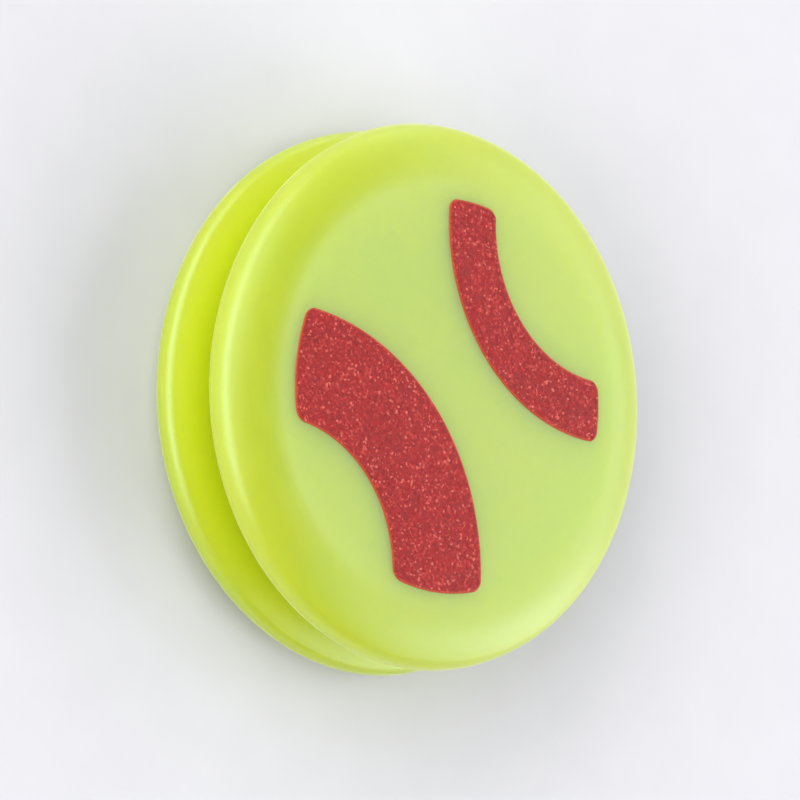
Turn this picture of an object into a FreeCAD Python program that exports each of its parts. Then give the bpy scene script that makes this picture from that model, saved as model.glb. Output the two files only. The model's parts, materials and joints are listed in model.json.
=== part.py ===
import FreeCAD, Part
import math
import os

# Button-type vibration dampener for a racket's string bed.
#
# One silicone moulding: two equal round discs on a short neck.  The neck sits
# between the two central main strings, one disc in front of the strings and
# one behind them, so that the strings run in the slot between the discs.  The
# front disc carries a two-part print in raised ink.
#
# Millimetres.  +Z is the disc axis, from the rear disc to the printed front
# disc.  +Y runs along the main strings, towards the racket's head, and +X
# along the cross strings.  The origin is the centre of the rear disc's flat
# outer face, which is the face that the part rests on when it lies down.

# ---- driving dimensions ----------------------------------------------------
disc_d = 25.0            # widest diameter of each disc
face_d = 19.2            # flat plateau on the outer face of each disc
shoulder_h = 1.7         # plateau above the widest circle
inner_h = 0.95           # widest circle above the inner face
inner_run = 2.4          # taper and rounding of the inner face, in from the rim
inner_edge = 0.55        # rounding inwards from the widest circle
edge_round = 1.1         # rounding outwards from the widest circle
gap = 1.75               # slot between the two inner faces

string_d = 1.3           # string that the slot and the seats are made for
seat_r = 0.70            # half-round seat in each flank of the neck
seat_pitch = 12.6        # spacing of the two seated main strings
neck_l = 10.0            # neck along the strings
neck_corner = 1.2        # rounding of the neck's four upright corners

ink_h = 0.05             # ink film on the plateau
ink_field_r = 9.0        # the print stays inside this circle
ink_corner = 0.45        # rounding of the print's corners
motif_turn = 27.0        # the print's own axis, degrees from -Y towards -X
large_c, large_r, large_w = 13.0, 12.0, 5.2   # arc centre, outer radius, width
small_c, small_r, small_w = 12.4, 9.6, 2.8

# ---- derived dimensions ----------------------------------------------------
disc_r = disc_d / 2.0
face_r = face_d / 2.0
disc_t = shoulder_h + inner_h
z_rear_in = disc_t                 # rear disc's inner face
z_mid = disc_t + gap / 2.0         # plane of the strings, and of both hinges
z_front_in = disc_t + gap          # front disc's inner face
z_top = 2.0 * disc_t + gap         # front disc's plateau

V = FreeCAD.Vector
Z = V(0, 0, 1)


def quarter(run, height, tight):
    """Radius of the wide arc of a quarter oval, and the angle where it starts.

    The quarter oval covers run by height.  A tight arc at the rim is tangent
    to a wide arc, which runs level into the face.  The angle is measured at
    the arcs' centres, up from the radial direction.
    """
    wide = ((run - tight) ** 2 + height ** 2 - tight ** 2) / (2.0 * (height - tight))
    return wide, math.atan2(wide - height, run - tight)


def disc(z_in, way):
    """A disc with its inner face at z_in, growing towards way (+1 up, -1 down).

    The section runs out along the flat inner face, tapers and rounds to the
    widest circle, goes over the shoulder to the plateau, and back along the
    plateau to the axis.  The taper leads the strings into the slot.
    """
    def on(centre, radius, angle):
        r = centre[0] + radius * math.cos(angle)
        h = centre[1] + radius * math.sin(angle)
        return V(r, 0, z_in + way * h)

    in_wide, in_join = quarter(inner_run, inner_h, inner_edge)
    out_wide, out_join = quarter(disc_r - face_r, shoulder_h, edge_round)
    in_tight_at = (disc_r - inner_edge, inner_h)
    in_wide_at = (disc_r - inner_run, in_wide)
    out_tight_at = (disc_r - edge_round, inner_h)
    out_wide_at = (face_r, disc_t - out_wide)
    quarter_turn = math.pi / 2.0

    def arc(centre, radius, a, b):
        return Part.Arc(
            on(centre, radius, a), on(centre, radius, (a + b) / 2.0), on(centre, radius, b)
        ).toShape()

    axis_in, axis_out = on((0, 0), 0, 0), on((0, disc_t), 0, 0)
    flat_in = on(in_wide_at, in_wide, -quarter_turn)
    flat_out = on(out_wide_at, out_wide, quarter_turn)
    edges = [
        Part.LineSegment(axis_in, flat_in).toShape(),
        arc(in_wide_at, in_wide, -quarter_turn, -in_join),
        arc(in_tight_at, inner_edge, -in_join, 0.0),
        arc(out_tight_at, edge_round, 0.0, out_join),
        arc(out_wide_at, out_wide, out_join, quarter_turn),
        Part.LineSegment(flat_out, axis_out).toShape(),
        Part.LineSegment(axis_out, axis_in).toShape(),
    ]
    section = Part.Face(Part.Wire(Part.__sortEdges__(edges)))
    return section.revolve(V(0, 0, 0), Z, 360)


def neck():
    """The bridge between the discs, with a straight string seat in each flank."""
    block = Part.makeBox(
        seat_pitch, neck_l, gap, V(-seat_pitch / 2, -neck_l / 2, z_rear_in)
    )
    upright = [
        e for e in block.Edges
        if abs(e.Vertexes[0].Point.z - e.Vertexes[-1].Point.z) > gap / 2
    ]
    block = block.makeFillet(neck_corner, upright)
    for side in (-1, 1):
        block = block.cut(
            Part.makeCylinder(
                seat_r, neck_l + 4, V(side * seat_pitch / 2, -neck_l / 2 - 2, z_mid),
                V(0, 1, 0),
            )
        )
    return block


def band(centre, radius, width, way):
    """A curved ink band, cut off by the print field's circle.

    way is +1 for the band on the motif's own axis and -1 for the one opposite.
    Both bow towards the middle of the face.
    """
    turn = math.radians(motif_turn)
    axis = V(-math.sin(turn), -math.cos(turn), 0) * way
    at = axis * centre + V(0, 0, z_top)
    ring = Part.makeCylinder(radius, ink_h, at, Z).cut(
        Part.makeCylinder(radius - width, ink_h, at, Z)
    )
    piece = ring.common(Part.makeCylinder(ink_field_r, ink_h, V(0, 0, z_top), Z))
    solid = max(piece.Solids, key=lambda s: s.Volume)
    # the ring's seam leaves no corner inside the field, so the upright edges
    # are the band's four corners
    corners = [
        e for e in solid.Edges
        if len(e.Vertexes) == 2
        and abs(e.Vertexes[0].Point.z - e.Vertexes[1].Point.z) > ink_h / 2
        and abs(math.hypot(e.Vertexes[0].Point.x, e.Vertexes[0].Point.y) - ink_field_r) < 1e-3
    ]
    return solid.makeFillet(ink_corner, corners)


nodes = {
    "rear_disc": disc(z_rear_in, -1),
    "neck": neck(),
    "front_disc": disc(z_front_in, +1),
    "print_large_band": band(large_c, large_r, large_w, +1),
    "print_small_band": band(small_c, small_r, small_w, -1),
}

os.makedirs("parts", exist_ok=True)
for name, shape in nodes.items():
    solid = shape.Solids[0] if len(shape.Solids) == 1 else shape
    assert solid.isValid(), name
    solid.exportStep(os.path.join("parts", name + ".step"))
    b = solid.BoundBox
    print(
        "%-17s solids %d  volume %8.2f mm3  x %.2f..%.2f  y %.2f..%.2f  z %.2f..%.2f"
        % (name, len(shape.Solids), shape.Volume, b.XMin, b.XMax, b.YMin, b.YMax, b.ZMin, b.ZMax)
    )
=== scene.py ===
import json
import math

import bpy
import numpy as np
from mathutils import Matrix, Vector


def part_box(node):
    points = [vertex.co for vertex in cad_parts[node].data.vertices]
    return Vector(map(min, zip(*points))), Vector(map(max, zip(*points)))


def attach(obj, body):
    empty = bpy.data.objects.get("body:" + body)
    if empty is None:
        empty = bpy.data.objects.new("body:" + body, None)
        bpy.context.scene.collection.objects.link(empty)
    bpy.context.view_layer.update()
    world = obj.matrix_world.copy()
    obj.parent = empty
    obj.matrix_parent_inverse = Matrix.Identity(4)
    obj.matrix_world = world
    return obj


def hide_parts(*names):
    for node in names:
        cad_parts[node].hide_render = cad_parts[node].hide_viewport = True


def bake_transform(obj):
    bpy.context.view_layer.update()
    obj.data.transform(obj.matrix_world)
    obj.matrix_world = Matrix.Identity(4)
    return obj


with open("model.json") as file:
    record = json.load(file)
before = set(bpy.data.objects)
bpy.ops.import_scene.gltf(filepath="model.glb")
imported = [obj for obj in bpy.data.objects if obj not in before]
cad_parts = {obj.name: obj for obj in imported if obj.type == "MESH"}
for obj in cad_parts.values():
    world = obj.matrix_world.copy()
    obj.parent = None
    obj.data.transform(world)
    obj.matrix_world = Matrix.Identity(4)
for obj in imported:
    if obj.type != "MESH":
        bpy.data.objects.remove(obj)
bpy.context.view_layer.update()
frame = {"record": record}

MM = 0.001
record = frame["record"]
scene = bpy.context.scene

# ---------------------------------------------------------------------------
# sizes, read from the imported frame
# ---------------------------------------------------------------------------
rear_lo, rear_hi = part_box("rear_disc")
front_lo, front_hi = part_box("front_disc")
neck_lo, neck_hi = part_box("neck")
ink_lo, ink_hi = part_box("print_large_band")

R = (front_hi.x - front_lo.x) / 2 / MM          # disc radius, 12.5
Z_REAR_IN = rear_hi.z / MM                      # rear disc's inner face
Z_FRONT_IN = front_lo.z / MM                    # front disc's inner face
Z_TOP = front_hi.z / MM                         # front plateau
Z_MID = (Z_REAR_IN + Z_FRONT_IN) / 2
NECK_X = (neck_hi.x - neck_lo.x) / 2 / MM       # lips of the string seats
NECK_Y = (neck_hi.y - neck_lo.y) / 2 / MM
INK_H = (ink_hi.z - ink_lo.z) / MM
DISC_T = Z_TOP - Z_FRONT_IN
SHOULDER_H, EDGE_ROUND = 1.7, 1.1               # rim to plateau, and its tight arc
INNER_H = DISC_T - SHOULDER_H
INNER_RUN, INNER_EDGE = 2.4, 0.55               # the slot side's taper, and its tight arc
FACE_R = 9.6
SEAT_R = 0.70


# ---------------------------------------------------------------------------
# small helpers
# ---------------------------------------------------------------------------
def smooth01(t):
    t = np.clip(t, 0.0, 1.0)
    return t * t * (3 - 2 * t)


def mesh_object(name, verts_mm, faces, smooth=True):
    me = bpy.data.meshes.new(name)
    me.from_pydata([tuple(v * MM for v in p) for p in verts_mm], [], faces)
    me.validate()
    me.update()
    me.polygons.foreach_set("use_smooth", [smooth] * len(me.polygons))
    ob = bpy.data.objects.new(name, me)
    scene.collection.objects.link(ob)
    return ob


# ---------------------------------------------------------------------------
# the two discs
# ---------------------------------------------------------------------------
def quarter(run, height, tight):
    """Radius of the wide arc of a quarter oval, and the angle where it starts."""
    wide = ((run - tight) ** 2 + height ** 2 - tight ** 2) / (2 * (height - tight))
    return wide, math.atan2(wide - height, run - tight)


def disc_profile():
    """(r, h) from the centre of the inner face, round the edge, to the centre
    of the outer face.  h is the height above the inner face, in mm."""
    pts = []

    def arc(centre, radius, start, stop, steps):
        for a in np.linspace(start, stop, steps):
            pts.append((centre[0] + radius * math.cos(a), centre[1] + radius * math.sin(a)))

    in_wide, in_join = quarter(INNER_RUN, INNER_H, INNER_EDGE)
    out_wide, out_join = quarter(R - FACE_R, SHOULDER_H, EDGE_ROUND)
    for r in np.linspace(0.35, R - INNER_RUN - 0.25, 20):
        pts.append((r, 0.0))
    arc((R - INNER_RUN, in_wide), in_wide, -math.pi / 2, -in_join, 11)
    arc((R - INNER_EDGE, INNER_H), INNER_EDGE, -in_join * 0.94, -0.24, 10)
    # parting line: a fine raised bead on the widest circle
    bead, half = 0.035, 0.10
    for d in np.linspace(-half, half, 9):
        lift = bead * (0.5 + 0.5 * math.cos(math.pi * d / half))
        pts.append((R - 0.012 + lift * 0.8, INNER_H + d))
    arc((R - EDGE_ROUND, INNER_H), EDGE_ROUND, 0.13, out_join, 13)
    arc((FACE_R, DISC_T - out_wide), out_wide, out_join + 0.045, math.pi / 2, 15)
    for r in np.linspace(FACE_R - 0.35, 0.35, 26):
        pts.append((r, DISC_T))
    return pts


def soft_wave(x, y, seed):
    """Slow unevenness of a soft moulding's outer face, in mm, never above 0."""
    a = 0.5 * (math.sin(0.41 * x + 0.23 * y + seed) + math.sin(-0.29 * x + 0.37 * y + 2.1 * seed))
    return 0.008 * (a - 1.0)


def face_drop(r):
    """The outer face is crowned a little: how far it falls towards the shoulder."""
    return 0.10 * (min(r, FACE_R) / FACE_R) ** 2


def disc(name, z_in, way, seed, seg=288):
    """The glow mask attribute is 1 on the side that faces the strings, and 0 elsewhere; there the silicone
    shader paints a lighter, yellower colour, a painted glow.
    """
    prof = disc_profile()
    verts, faces, painted_glow_mask = [], [], []
    n = len(prof)
    for i in range(seg):
        a = 2 * math.pi * i / seg
        ca, sa = math.cos(a), math.sin(a)
        # a soft part is never quite round
        lobe = 0.035 * (math.cos(3 * a + seed) - 1.0) + 0.012 * (math.cos(5 * a + 2 * seed) - 1.0)
        for r, h in prof:
            rr = r + lobe * smooth01((r - 6.0) / 6.5)
            x, y = rr * ca, rr * sa
            hh = h
            outer = smooth01((h - INNER_H) / SHOULDER_H)
            if outer > 0:
                hh += outer * (soft_wave(x, y, seed) - face_drop(r))
            verts.append((x, y, z_in + way * hh))
            # painted glow mask: 1 on the flat slot side, fading to 0 up its taper, 0 on the rim and outer
            # face
            painted_glow_mask.append(1.0 - smooth01((h - 0.10) / 0.55))
    for i in range(seg):
        j = (i + 1) % seg
        for k in range(n - 1):
            q = (i * n + k, j * n + k, j * n + k + 1, i * n + k + 1)
            faces.append(q if way > 0 else q[::-1])
    inner = tuple(i * n for i in range(seg))
    outer = tuple(i * n + n - 1 for i in range(seg))
    faces.append(inner[::-1] if way > 0 else inner)
    faces.append(outer if way > 0 else outer[::-1])
    ob = mesh_object(name, verts, faces)
    ob.data.attributes.new("painted_glow_mask", "FLOAT", "POINT").data.foreach_set("value", painted_glow_mask)
    return ob


front = disc("front_disc_skin", Z_FRONT_IN, +1, 0.7)
rear = disc("rear_disc_skin", Z_REAR_IN, -1, 2.9)


# ---------------------------------------------------------------------------
# the neck, in two halves that meet on the plane of the strings
# ---------------------------------------------------------------------------
def neck_outline(per=44):
    """Points round the rounded rectangle, with their outward normals."""
    c = 1.2
    out = []
    cx, cy = NECK_X - c, NECK_Y - c
    for sx, sy, a0 in ((1, 1, 0), (-1, 1, 90), (-1, -1, 180), (1, -1, 270)):
        for a in np.linspace(a0, a0 + 90, 13):
            a = math.radians(a)
            out.append((sx * cx + c * math.cos(a), sy * cy + c * math.sin(a), math.cos(a), math.sin(a)))
        # the straight run to the next corner
        p = out[-1]
        if a0 in (0, 180):
            q = (-p[0], p[1])
        else:
            q = (p[0], -p[1])
        steps = 18
        for k in range(1, steps):
            t = k / steps
            out.append((p[0] + (q[0] - p[0]) * t, p[1] + (q[1] - p[1]) * t, p[2], p[3]))
    return out


def smin(a, b, k):
    h = max(k - abs(a - b), 0.0) / k
    return min(a, b) - h * h * k * 0.25


def neck_half(name, z_end, z_split):
    outline = neck_outline()
    fillet = 0.32
    over = 0.12          # the neck runs this far into its disc
    way = 1 if z_end > z_split else -1
    half = abs(z_end - z_split)
    levels = [0.0]
    levels += list(np.linspace(0.06, SEAT_R - 0.05, 9))
    levels += [SEAT_R - 0.02, SEAT_R, SEAT_R + 0.03, SEAT_R + 0.07, SEAT_R + 0.11, half, half + over]
    levels = sorted(set(round(v, 4) for v in levels))
    verts, faces = [], []
    m = len(outline)
    for d in levels:
        depth = math.sqrt(max(SEAT_R ** 2 - d * d, 0.0))
        limit = NECK_X - depth
        from_disc = half - d
        grow = 0.0
        if from_disc < fillet:
            f = max(from_disc, 0.0)
            grow = fillet - math.sqrt(max(fillet ** 2 - (fillet - f) ** 2, 0.0))
        for x, y, nx, ny in outline:
            gx = smin(abs(x), limit, 0.22) if depth > 0 else abs(x)
            xx = math.copysign(gx, x) if abs(x) > 1e-9 else 0.0
            yy = y + ny * abs(ny) * abs(ny) * grow
            verts.append((xx, yy, z_split + way * d))
    for k in range(len(levels) - 1):
        for i in range(m):
            j = (i + 1) % m
            q = (k * m + i, k * m + j, (k + 1) * m + j, (k + 1) * m + i)
            faces.append(q if way > 0 else q[::-1])
    first = tuple(range(m))
    last = tuple((len(levels) - 1) * m + i for i in range(m))
    faces.append(first[::-1] if way > 0 else first)
    faces.append(last if way > 0 else last[::-1])
    ob = mesh_object(name, verts, faces)
    # the whole neck gets the painted glow colour
    ob.data.attributes.new("painted_glow_mask", "FLOAT", "POINT").data.foreach_set("value", [1.0] * len(verts))
    return ob


neck_rear = neck_half("neck_rear_half", Z_REAR_IN, Z_MID)
neck_front = neck_half("neck_front_half", Z_FRONT_IN, Z_MID)


# ---------------------------------------------------------------------------
# the print: two curved bands of raised ink, a generic ball-seam motif
# ---------------------------------------------------------------------------
FIELD_R = 9.0
TURN = math.radians(27.0)


def ink_band(name, centre, radius, width, way, corner=0.45):
    """An arc band cut off by the print field's circle, as a smooth film.

    The band is laid out on a grid: u runs along it, v across it.  Each grid
    line is an arc about the band's own centre that ends on the field circle.
    """
    ax = np.array([-math.sin(TURN), -math.cos(TURN)]) * way     # towards the arc's centre
    tx = np.array([-ax[1], ax[0]])
    C = ax * centre
    nu, nv = 150, 44
    r_hi, r_lo = radius, radius - width

    def end_angle(r):
        # where the arc of radius r meets the field circle, seen from C
        ca = (centre ** 2 + r ** 2 - FIELD_R ** 2) / (2 * centre * r)
        return math.acos(max(-1.0, min(1.0, ca)))

    # v positions are packed towards the two long edges
    vs = 0.5 - 0.5 * np.cos(np.linspace(0, math.pi, nv))
    # u positions are packed towards the two ends
    us = np.linspace(-1, 1, nu)
    us = 0.55 * us + 0.45 * np.sin(us * math.pi / 2)
    top, edge = [], []
    for v in vs:
        r = r_lo + (r_hi - r_lo) * v
        e = end_angle(r)
        # rounded corners: pull the line's end back near the long edges
        d_edge = min(v, 1 - v) * width
        pull = 0.0
        if d_edge < corner:
            pull = corner - math.sqrt(max(corner ** 2 - (corner - d_edge) ** 2, 0.0))
        e -= pull / r
        for u in us:
            ang = e * u
            p = C - ax * (r * math.cos(ang)) + tx * (r * math.sin(ang))
            top.append(p)
            along = (1 - abs(u)) * e * r
            edge.append(min(d_edge, along) + 0.0)
    top = np.array(top)
    edge = np.array(edge)
    verts, attr = [], []
    lip = 0.10
    for p, d in zip(top, edge):
        x, y = float(p[0]), float(p[1])
        base = Z_TOP + soft_wave(x, y, 0.7) - face_drop(math.hypot(x, y))
        rise = math.sqrt(max(1 - (1 - min(d / lip, 1.0)) ** 2, 0.0))
        verts.append((x, y, base + 0.004 + (INK_H - 0.006) * rise))
        attr.append(d)
    n_top = len(verts)
    # the underside, sunk a little into the face so that the film is closed
    for p in top:
        x, y = float(p[0]), float(p[1])
        base = Z_TOP + soft_wave(x, y, 0.7) - face_drop(math.hypot(x, y))
        verts.append((x, y, base - 0.02))
        attr.append(0.0)
    faces = []

    def idx(i, j, under=False):
        return i * nu + j + (n_top if under else 0)

    for i in range(nv - 1):
        for j in range(nu - 1):
            faces.append((idx(i, j), idx(i, j + 1), idx(i + 1, j + 1), idx(i + 1, j)))
            faces.append((idx(i, j, True), idx(i + 1, j, True), idx(i + 1, j + 1, True), idx(i, j + 1, True)))
    ring = [(0, j) for j in range(nu - 1)] + [(i, nu - 1) for i in range(nv - 1)]
    ring += [(nv - 1, j) for j in range(nu - 1, 0, -1)] + [(i, 0) for i in range(nv - 1, 0, -1)]
    for a, b in zip(ring, ring[1:] + ring[:1]):
        faces.append((idx(*b), idx(*a), idx(*a, True), idx(*b, True)))
    ob = mesh_object(name, verts, faces)
    # one winding for the whole film, outwards
    import bmesh
    bm = bmesh.new()
    bm.from_mesh(ob.data)
    bmesh.ops.recalc_face_normals(bm, faces=bm.faces)
    bm.to_mesh(ob.data)
    bm.free()
    at = ob.data.attributes.new("ink_edge", "FLOAT", "POINT")
    at.data.foreach_set("value", np.array(attr, np.float32))
    return ob


ink_large = ink_band("print_large_band_film", 13.0, 12.0, 5.2, +1)
ink_small = ink_band("print_small_band_film", 12.4, 9.6, 2.8, -1)


# ---------------------------------------------------------------------------
# materials
# ---------------------------------------------------------------------------
def srgb(r, g, b):
    def lin(c):
        c /= 255.0
        return c / 12.92 if c <= 0.04045 else ((c + 0.055) / 1.055) ** 2.4
    return (lin(r), lin(g), lin(b), 1.0)


class Nodes:
    def __init__(self, name):
        self.mat = bpy.data.materials.new(name)
        self.mat.use_nodes = True
        self.t = self.mat.node_tree
        self.bsdf = self.t.nodes["Principled BSDF"]
        self.out = self.t.nodes["Material Output"]

    def new(self, kind, **props):
        n = self.t.nodes.new(kind)
        for k, v in props.items():
            setattr(n, k, v)
        return n

    def link(self, a, b):
        self.t.links.new(a, b)

    def coords(self, scale):
        c = self.new("ShaderNodeTexCoord")
        m = self.new("ShaderNodeMapping")
        m.inputs["Scale"].default_value = (scale, scale, scale)
        self.link(c.outputs["Object"], m.inputs["Vector"])
        return m.outputs["Vector"]

    def noise(self, vec, scale, detail=3.0, rough=0.5, dist=0.0):
        n = self.new("ShaderNodeTexNoise")
        n.inputs["Scale"].default_value = scale
        n.inputs["Detail"].default_value = detail
        n.inputs["Roughness"].default_value = rough
        n.inputs["Distortion"].default_value = dist
        self.link(vec, n.inputs["Vector"])
        return n.outputs["Fac"]

    def ramp(self, fac, stops):
        n = self.new("ShaderNodeValToRGB")
        els = n.color_ramp.elements
        while len(els) > len(stops):
            els.remove(els[-1])
        while len(els) < len(stops):
            els.new(1.0)
        for e, (pos, col) in zip(els, stops):
            e.position = pos
            e.color = col
        self.link(fac, n.inputs["Fac"])
        return n.outputs["Color"]

    def map_range(self, v, a, b, c, d):
        n = self.new("ShaderNodeMapRange")
        n.inputs["From Min"].default_value = a
        n.inputs["From Max"].default_value = b
        n.inputs["To Min"].default_value = c
        n.inputs["To Max"].default_value = d
        self.link(v, n.inputs["Value"])
        return n.outputs["Result"]

    def mix(self, fac, a, b, blend="MIX"):
        n = self.new("ShaderNodeMix", data_type="RGBA", blend_type=blend)
        for sock, v in ((n.inputs[0], fac), (n.inputs[6], a), (n.inputs[7], b)):
            if isinstance(v, bpy.types.NodeSocket):
                self.link(v, sock)
            else:
                sock.default_value = v
        return n.outputs[2]


def silicone(name, reach, sheen, smooth_lo, smooth_hi):
    """Soft lime rubber: light goes a few millimetres in, and blue is lost first.

    reach is how far light travels inside, in metres; smooth_lo and smooth_hi
    are the ends of the surface roughness.
    """
    m = Nodes(name)
    v = m.coords(1000.0)                     # texture space in millimetres
    slow = m.noise(v, 0.16, 2.0, 0.5)
    mid = m.noise(v, 1.1, 4.0, 0.55)
    fine = m.noise(v, 9.0, 5.0, 0.6)
    # slow drift of the pigment, greener to yellower
    base = m.ramp(slow, [(0.30, (0.432, 0.541, 0.010, 1)), (0.70, (0.462, 0.541, 0.004, 1))])
    # faint clouding
    mott = m.ramp(mid, [(0.30, (0.972, 0.976, 0.85, 1)), (0.70, (1.0, 1.0, 1.0, 1))])
    col = m.mix(1.0, base, mott, "MULTIPLY")
    # painted glow: where the mask is 1 (the slot side of the discs and the whole neck) the colour is set
    # lighter and yellower, standing in for light coming through the translucent disc from behind, which the
    # floor blocks here
    painted_glow_mask = m.new("ShaderNodeAttribute", attribute_name="painted_glow_mask").outputs["Fac"]
    col = m.mix(painted_glow_mask, col, (0.575, 0.665, 0.002, 1.0))
    m.link(col, m.bsdf.inputs["Base Color"])
    bloom = m.map_range(mid, 0.25, 0.75, -0.03, 0.03)
    rough = m.map_range(fine, 0.3, 0.7, smooth_lo, smooth_hi)
    add = m.new("ShaderNodeMath", operation="ADD")
    m.link(rough, add.inputs[0])
    m.link(bloom, add.inputs[1])
    m.link(add.outputs[0], m.bsdf.inputs["Roughness"])
    bump = m.new("ShaderNodeBump")
    bump.inputs["Strength"].default_value = 0.14
    bump.inputs["Distance"].default_value = 0.00002
    m.link(fine, bump.inputs["Height"])
    m.link(bump.outputs["Normal"], m.bsdf.inputs["Normal"])
    b = m.bsdf.inputs
    b["IOR"].default_value = 1.57
    b["Specular IOR Level"].default_value = 1.0
    b["Specular Tint"].default_value = (0.7, 1.0, 1.0, 1.0)
    b["Subsurface Weight"].default_value = 1.0
    b["Subsurface Radius"].default_value = (1.15, 1.0, 0.12)
    b["Subsurface Scale"].default_value = reach
    b["Sheen Weight"].default_value = sheen
    b["Sheen Roughness"].default_value = 0.3
    return m.mat


def ink():
    """Red pad-print ink with a fine metallic grain, thinner and more orange at its edge."""
    m = Nodes("red_grain_ink")
    v = m.coords(1000.0)
    vor = m.new("ShaderNodeTexVoronoi")
    vor.inputs["Scale"].default_value = 9.5
    vor.inputs["Randomness"].default_value = 1.0
    m.link(v, vor.inputs["Vector"])
    sep = m.new("ShaderNodeSeparateColor")
    m.link(vor.outputs["Color"], sep.inputs["Color"])
    flake = m.ramp(sep.outputs["Red"], [
        (0.00, srgb(140, 12, 14)),
        (0.42, srgb(160, 18, 19)),
        (0.76, srgb(174, 28, 27)),
        (0.93, srgb(194, 58, 53)),
        (1.00, srgb(218, 104, 92)),
    ])
    cloud = m.noise(v, 0.9, 3.0, 0.6)
    tone = m.ramp(cloud, [(0.30, (0.90, 0.88, 0.88, 1)), (0.70, (1.05, 1.05, 1.05, 1))])
    col = m.mix(1.0, flake, tone, "MULTIPLY")
    fine = m.noise(v, 22.0, 2.0, 0.6)
    grain = m.ramp(fine, [(0.30, (0.84, 0.80, 0.80, 1)), (0.70, (1.06, 1.06, 1.06, 1))])
    col = m.mix(1.0, col, grain, "MULTIPLY")
    edge = m.new("ShaderNodeAttribute", attribute_name="ink_edge")
    e = m.map_range(edge.outputs["Fac"], 0.02, 0.12, 0.80, 0.0)
    col = m.mix(e, col, srgb(206, 84, 40))
    m.link(col, m.bsdf.inputs["Base Color"])
    rough = m.map_range(sep.outputs["Green"], 0.0, 1.0, 0.40, 0.66)
    m.link(rough, m.bsdf.inputs["Roughness"])
    bump = m.new("ShaderNodeBump")
    bump.inputs["Strength"].default_value = 0.5
    bump.inputs["Distance"].default_value = 0.00002
    m.link(sep.outputs["Blue"], bump.inputs["Height"])
    m.link(bump.outputs["Normal"], m.bsdf.inputs["Normal"])
    m.bsdf.inputs["IOR"].default_value = 1.39
    return m.mat


def floor_paper():
    m = Nodes("pale_floor")
    v = m.coords(1000.0)
    n = m.noise(v, 0.35, 4.0, 0.5)
    col = m.ramp(n, [(0.3, (0.731, 0.728, 0.765, 1)), (0.7, (0.748, 0.745, 0.782, 1))])
    m.link(col, m.bsdf.inputs["Base Color"])
    m.bsdf.inputs["Roughness"].default_value = 0.9
    m.bsdf.inputs["Specular IOR Level"].default_value = 0.0
    return m.mat


M_SIL = silicone("lime_silicone", 0.006, 0.5, 0.38, 0.45)
M_NECK = silicone("lime_silicone_neck", 0.0009, 0.15, 0.42, 0.50)
M_INK = ink()
for ob, mat in ((front, M_SIL), (rear, M_SIL), (neck_rear, M_NECK), (neck_front, M_NECK)):
    ob.data.materials.append(mat)
for ob in (ink_large, ink_small):
    ob.data.materials.append(M_INK)

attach(front, "front")
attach(rear, "rear")
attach(ink_large, "front")
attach(ink_small, "front")
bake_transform(neck_rear)
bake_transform(neck_front)
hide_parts("front_disc")
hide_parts("rear_disc")
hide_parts("neck")
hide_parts("neck")
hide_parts("print_large_band")
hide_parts("print_small_band")

# ---------------------------------------------------------------------------
# floor, light and camera
# ---------------------------------------------------------------------------
fl = bpy.data.meshes.new("floor")
s = 3.0
fl.from_pydata([(-s, -s, -2e-5), (s, -s, -2e-5), (s, s, -2e-5), (-s, s, -2e-5)], [], [(0, 1, 2, 3)])
floor = bpy.data.objects.new("floor", fl)
scene.collection.objects.link(floor)
fl.materials.append(floor_paper())

RIGHT = Vector((0.7022, 0.3112, 0.6402)).normalized()
BACK = Vector((-0.5538, -0.3262, 0.7660)).normalized()
RIGHT = (RIGHT - BACK * RIGHT.dot(BACK)).normalized()
UP = BACK.cross(RIGHT).normalized()

target = Vector((0.0, 0.0, (Z_TOP / 2) * MM))
dist, frame_w = 0.50, 0.0365
cam = bpy.data.cameras.new("camera")
cam.sensor_width = 36.0
cam.lens = 36.0 * dist / frame_w
cam.clip_start = 0.02
cam.clip_end = 20.0
cam_ob = bpy.data.objects.new("camera", cam)
scene.collection.objects.link(cam_ob)
M = Matrix((RIGHT, UP, BACK)).transposed().to_4x4()
M.translation = target + BACK * dist
cam_ob.matrix_world = M
scene.camera = cam_ob


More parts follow.
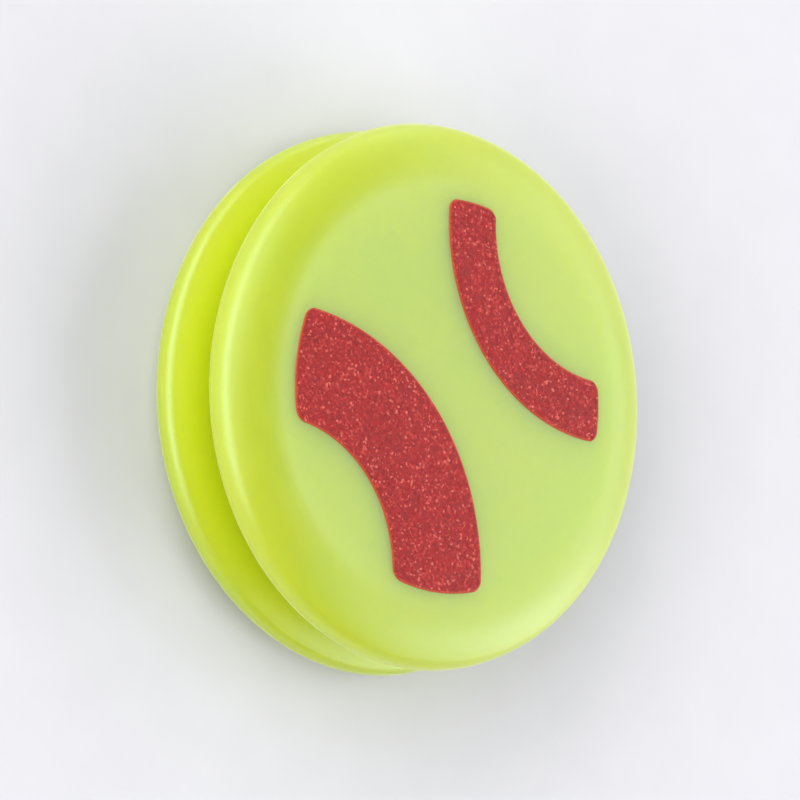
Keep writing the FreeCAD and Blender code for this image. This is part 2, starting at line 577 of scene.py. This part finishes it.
def soft_light(name, elevation, azimuth, width, strength):
    """A far, wide, white light: width is its spread in degrees."""
    e, a = math.radians(elevation), math.radians(azimuth)
    d = Vector((math.cos(e) * math.cos(a), math.cos(e) * math.sin(a), math.sin(e)))
    l = bpy.data.lights.new(name, "SUN")
    l.energy = strength
    l.angle = math.radians(width)
    o = bpy.data.objects.new(name, l)
    scene.collection.objects.link(o)
    o.rotation_mode = "QUATERNION"
    o.rotation_quaternion = d.to_track_quat("Z", "Y")
    o.location = target + d * 0.6
    return o


# A soft tent of light: elevation, azimuth, spread, strength.
TENT = (
    (27, 225, 34, 1.00),
    (27, 195, 34, 0.76),
    (27, 165, 34, 0.71),
    (27, 135, 34, 0.60),
    (27, 45, 34, 0.52),
    (27, 345, 34, 0.57),
    (27, 15, 34, 0.55),
    (9, 0, 26, 0.49),
    (9, 90, 26, 0.30),
    (25, 75, 34, 0.20),
    (47, 165.5, 38, 0.49),
    (47, 345.5, 38, 0.40),
    (47, 210.5, 38, 0.28),
    (50, 30.5, 16, 0.28),
)
for elevation, azimuth, width, strength in TENT:
    soft_light(f"soft_light_{elevation}_{round(azimuth)}", elevation, azimuth, width, strength)

world = bpy.data.worlds.new("studio")
scene.world = world
world.use_nodes = True
wt = world.node_tree
bg = wt.nodes["Background"]
tc = wt.nodes.new("ShaderNodeTexCoord")
sp = wt.nodes.new("ShaderNodeSeparateXYZ")
mr = wt.nodes.new("ShaderNodeMapRange")
mr.inputs["From Min"].default_value = 0.0
mr.inputs["From Max"].default_value = 0.25
mr.inputs["To Min"].default_value = 0.0
mr.inputs["To Max"].default_value = 1.0
rp = wt.nodes.new("ShaderNodeValToRGB")
rp.color_ramp.elements[0].color = (0.80, 0.80, 0.83, 1)
rp.color_ramp.elements[1].color = (0.12, 0.12, 0.125, 1)
wt.links.new(tc.outputs["Generated"], sp.inputs["Vector"])
wt.links.new(sp.outputs["Z"], mr.inputs["Value"])
wt.links.new(mr.outputs["Result"], rp.inputs["Fac"])
wt.links.new(rp.outputs["Color"], bg.inputs["Color"])
bg.inputs["Strength"].default_value = 1.0

scene.view_settings.view_transform = "Standard"
scene.view_settings.look = "None"
